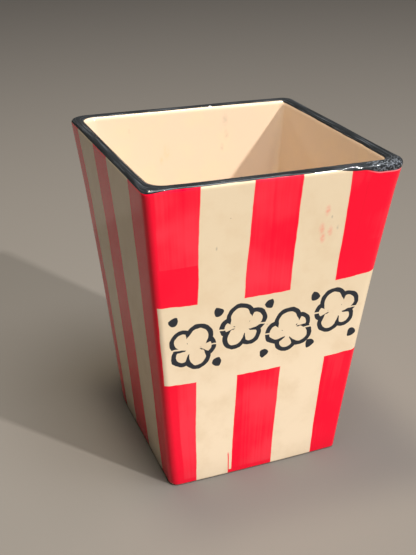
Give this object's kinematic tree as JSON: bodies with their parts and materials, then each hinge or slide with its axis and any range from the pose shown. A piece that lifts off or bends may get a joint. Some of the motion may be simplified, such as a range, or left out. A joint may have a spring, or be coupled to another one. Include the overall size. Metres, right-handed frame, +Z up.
{
  "type": "ceramic popcorn bucket",
  "caption": "Square flared pottery bucket, open at the top, with hand-painted red and cream stripes, a plain band across the front and a black rim.",
  "frame": {"origin": "middle of the flat foot, on the surface that the bucket stands on", "axes": "+Z up through the open mouth, -Y out of the front, the side with the plain band"},
  "size_m": [0.16, 0.16, 0.205],
  "materials": {
    "painted_glaze": "glossy cream glaze with hand-painted red stripes and a black rim"
  },
  "bodies": {
    "root": {"bucket": "painted_glaze"}
  },
  "joints": []
}
